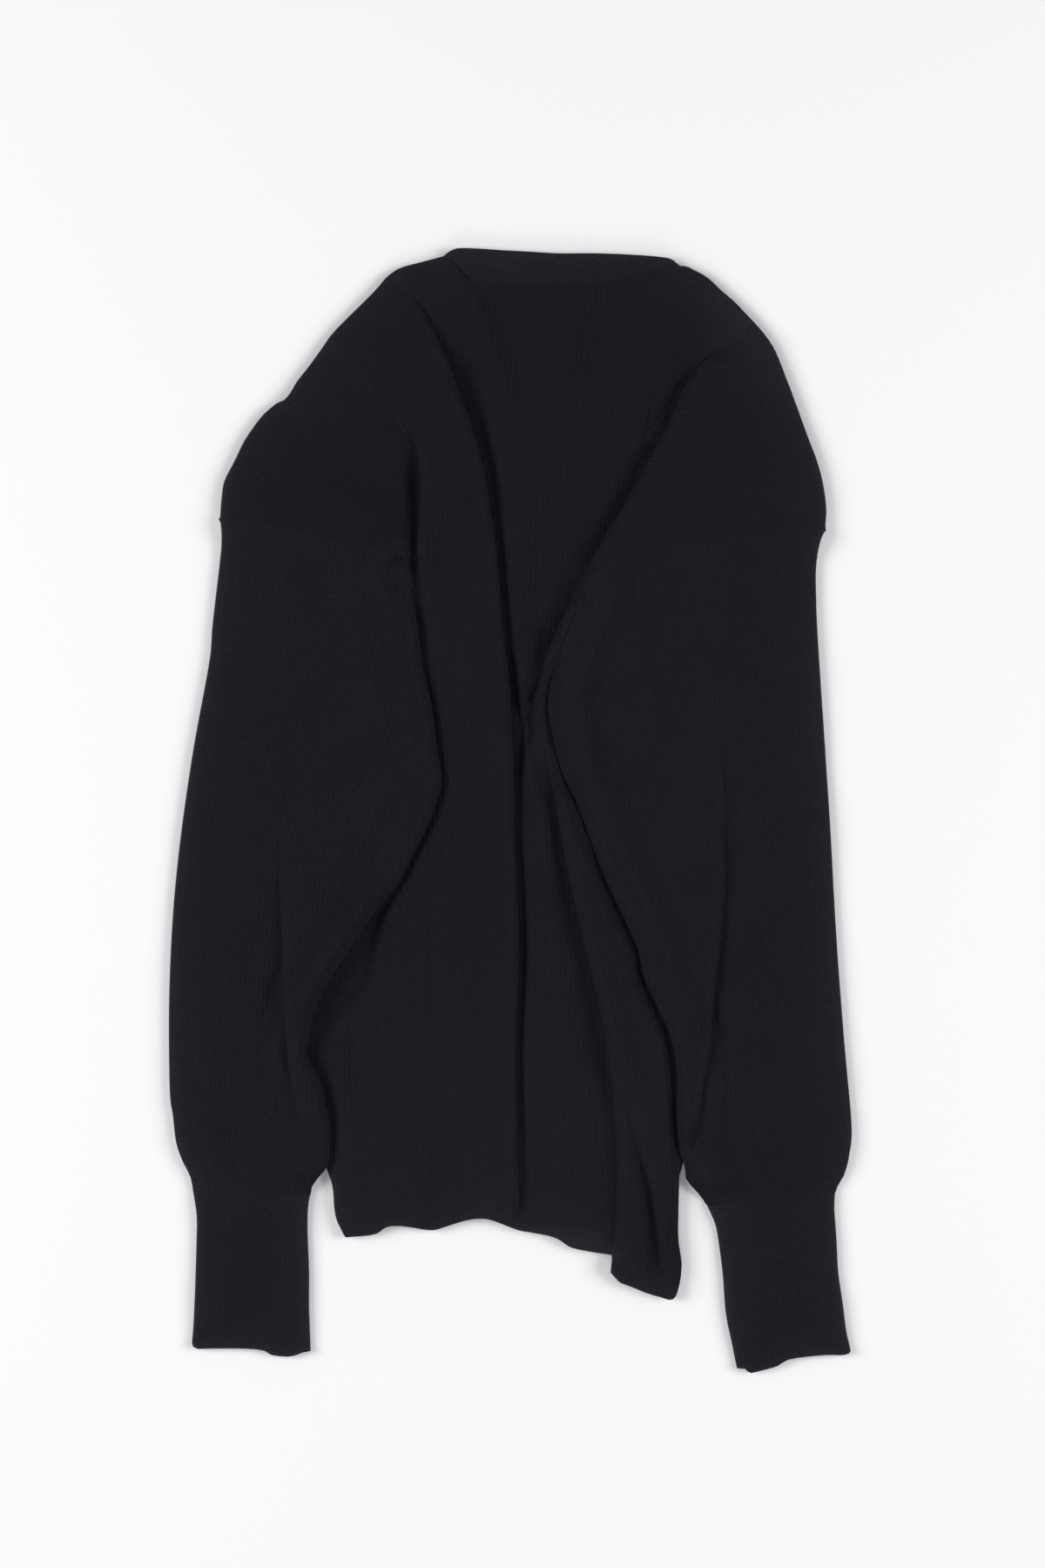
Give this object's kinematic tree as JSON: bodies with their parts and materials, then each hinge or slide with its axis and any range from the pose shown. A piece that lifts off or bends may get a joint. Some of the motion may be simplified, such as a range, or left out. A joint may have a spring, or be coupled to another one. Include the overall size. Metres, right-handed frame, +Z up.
{
  "type": "v-neck sweater",
  "caption": "V-neck rib-knit sweater with dropped shoulders, balloon sleeves and long cuffs, laid flat with its back up.",
  "frame": {"origin": "middle of the flat underside of the box round the garment, on the surface that it lies on", "axes": "+Y from the hem towards the collar, +Z up from the surface, +X to the right seen from above"},
  "size_m": [0.4309, 0.708, 0.0149],
  "materials": {
    "body_knit": "matte fine rib knit, near black",
    "sleeve_knit": "matte fine rib knit, near black",
    "cuff_knit": "matte close rib knit, near black",
    "band_knit": "matte plain fine knit, near black"
  },
  "bodies": {
    "root": {"back_panel": "body_knit", "front_panel": "body_knit", "sleeve_left": "sleeve_knit", "sleeve_right": "sleeve_knit", "cuff_left": "cuff_knit", "cuff_right": "cuff_knit", "neckband": "band_knit"}
  },
  "joints": []
}
